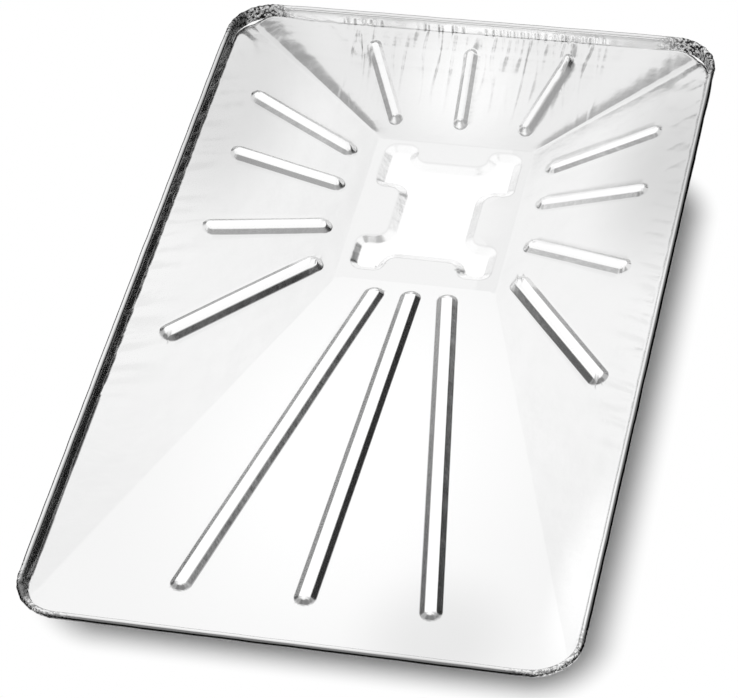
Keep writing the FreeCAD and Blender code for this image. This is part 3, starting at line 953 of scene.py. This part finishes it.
def floor_material():
    """White paper with a painted shadow in its colour close to the pan, where it also keeps the
    pan's real shadow, and plain white further out.
    """
    material, shader = matte_material("white_floor", 0.8)
    tree = material.node_tree
    place = shader_node(tree, "ShaderNodeTexCoord", (-1700, 0))
    split = shader_node(tree, "ShaderNodeSeparateXYZ", (-1500, 0))
    tree.links.new(place.outputs["Object"], split.inputs[0])
    beyond = []
    for row, (axis, (middle, half)) in enumerate((("X", SHADE_X), ("Y", SHADE_Y))):
        off = math_node(tree, "SUBTRACT", (-1300, -200 * row), split.outputs[axis], middle)
        off = math_node(tree, "ABSOLUTE", (-1150, -200 * row), off, 0)
        off = math_node(tree, "SUBTRACT", (-1000, -200 * row), off, half - SHADE_EDGE)
        off = math_node(tree, "MAXIMUM", (-850, -200 * row), off, 0)
        beyond.append(math_node(tree, "MULTIPLY", (-700, -200 * row), off, off))
    away = math_node(tree, "ADD", (-550, 0), *beyond)
    away = math_node(tree, "SQRT", (-400, 0), away, 0)
    # Painted shadow: the floor's colour is darker close to the pan.
    grey = ramp_node(tree, (-250, 300), away, *LIGHTER_RUN, *SHADE_GREYS)
    tree.links.new(grey, shader.inputs["Base Color"])
    clear = ramp_node(tree, (-250, 0), away, *WHITE_RUN, 0, 1)
    rays = shader_node(tree, "ShaderNodeLightPath", (-700, -500)).outputs
    seen = math_node(tree, "MAXIMUM", (-500, -500), rays["Is Camera Ray"], rays["Is Glossy Ray"])
    seen = math_node(tree, "MAXIMUM", (-350, -500), seen, rays["Is Transmission Ray"])
    share = math_node(tree, "MULTIPLY", (-50, 0), clear, seen)
    white = shader_node(tree, "ShaderNodeEmission", (0, -300), Strength=1)
    mixed_shaders(tree, share, shader, white)
    return material


def floor():
    """A white floor under the pan."""
    work = bmesh.new()
    place = Matrix.Translation((0, 0, -0.0005))
    bmesh.ops.create_grid(work, x_segments=1, y_segments=1, size=6, matrix=place)
    ground = studio_object("floor", work, floor_material())


def tent_material():
    """Dark cloth where the tent is shaded and open where the white room shows through."""
    material, cloth = matte_material("tent_cloth", 0.012)
    tree = material.node_tree
    place = shader_node(tree, "ShaderNodeTexCoord", (-1700, 0)).outputs["Object"]
    way = vector_node(tree, "NORMALIZE", (-1500, 0), place)
    flat = vector_node(tree, "MULTIPLY", (-1500, 200), place, (1, 1, 0))
    round_way = vector_node(tree, "NORMALIZE", (-1400, 300), flat.outputs[0])
    split = shader_node(tree, "ShaderNodeSeparateXYZ", (-1300, -400))
    tree.links.new(way.outputs[0], split.inputs[0])
    level = 1
    for index, (heading, near, height, depth) in enumerate(TENT_SHADES):
        row = 300 - 300 * index
        used = way if heading[2] else round_way
        toward = vector_node(
            tree, "DOT_PRODUCT", (-1300, row), used.outputs[0], Vector(heading).normalized(),
        )
        beside = ramp_node(tree, (-1100, row), toward.outputs["Value"], *near, 0, depth)
        below = ramp_node(tree, (-900, row), split.outputs["Z"], *height, 1, 0)
        shade = math_node(tree, "MULTIPLY", (-700, row), beside, below)
        left = math_node(tree, "SUBTRACT", (-500, row), 1, shade)
        level = math_node(tree, "MULTIPLY", (-300, row), level, left)
    opening = shader_node(tree, "ShaderNodeBsdfTransparent", (0, -300))
    mixed_shaders(tree, level, cloth, opening)
    return material


def tent():
    """A light tent round the table, which the bright foil reflects and the camera doesn't see."""
    work = bmesh.new()
    bmesh.ops.create_uvsphere(work, u_segments=48, v_segments=24, radius=4)
    made = studio_object("light_tent", work, tent_material())
    made.visible_camera = False


def low_flags():
    """A low dark strip round the pan, seen only in the bright foil."""
    work = bmesh.new()
    bmesh.ops.create_circle(work, segments=64, radius=1)
    for vertex in work.verts:
        way = vertex.co.xy
        reach = FLAG_GAP / max(abs(way.x), abs(way.y))
        vertex.co.x = way.x * reach + math.copysign(RIM_X * MM, way.x)
        vertex.co.y = way.y * reach + math.copysign(RIM_Y * MM, way.y)
    for part in bmesh.ops.extrude_edge_only(work, edges=work.edges)["geom"]:
        if isinstance(part, bmesh.types.BMVert):
            part.co.z = FLAG_HEIGHT
    material, _ = matte_material("flag_cloth", 0.02)
    made = studio_object("low_flags", work, material)
    made.visible_camera = made.visible_diffuse = made.visible_shadow = False


def soft_lamp(name, heading, size, level):
    """A flat lamp that adds its level to what the foil reflects from one heading."""
    data = bpy.data.lights.new(name, "AREA")
    data.shape = "RECTANGLE"
    data.size, data.size_y = size
    data.energy = level * math.pi * data.size * data.size_y
    lamp = bpy.data.objects.new(name, data)
    way = Vector(heading).normalized()
    facing = way.to_track_quat("Z", "Y").to_matrix().to_4x4()
    lamp.matrix_world = Matrix.Translation(way * LAMP_DISTANCE) @ facing
    bpy.context.scene.collection.objects.link(lamp)


def room():
    """An even white room, with a soft lamp high behind the pan and one in front of it."""
    world = bpy.data.worlds.new("white_room")
    bpy.context.scene.world = world
    world.use_nodes = True
    background = world.node_tree.nodes["Background"]
    background.inputs["Color"].default_value = (1, 1, 1, 1)
    background.inputs["Strength"].default_value = 1
    for lamp in LAMPS:
        soft_lamp(*lamp)


def camera():
    """The camera in front, a little to the right and above."""
    rise, heading, roll = (math.radians(angle) for angle in CAMERA_TURN)
    right = Vector((math.cos(heading), math.sin(heading), 0))
    ahead = Vector((
        -math.sin(heading) * math.cos(rise),
        math.cos(heading) * math.cos(rise),
        -math.sin(rise),
    ))
    up = right.cross(ahead)
    across = right * math.cos(roll) + up * math.sin(roll)
    upward = up * math.cos(roll) - right * math.sin(roll)
    target = Vector((0, 0, BEAD_Z)) * MM
    width = 2 * RIM_X * MM
    data = bpy.data.cameras.new("camera")
    data.sensor_width = 36
    data.lens = CAMERA_LENS
    data.clip_start, data.clip_end = 0.05, 50
    made = bpy.data.objects.new("camera", data)
    bpy.context.scene.collection.objects.link(made)
    shifts = [way * share for way, share in zip((across, upward, ahead), CAMERA_PLACE)]
    place = target - width * (shifts[0] + shifts[1] + shifts[2])
    turn = Matrix((across, upward, -ahead)).transposed()
    made.matrix_world = Matrix.Translation(place) @ turn.to_4x4()
    bpy.context.scene.camera = made


def main():
    """Builds the pan and its studio."""
    relief = relief_group()
    crumple_shade = crumple_shade_group()
    pressed_sheet(foil_material("bright_foil", relief, crumple_shade, *SHEET_FINISH))
    rolled_rim(foil_material("rim_foil", relief, crumple_shade, *RIM_FINISH))
    floor()
    tent()
    low_flags()
    room()
    camera()
    bpy.context.scene.view_settings.view_transform = "Standard"


main()
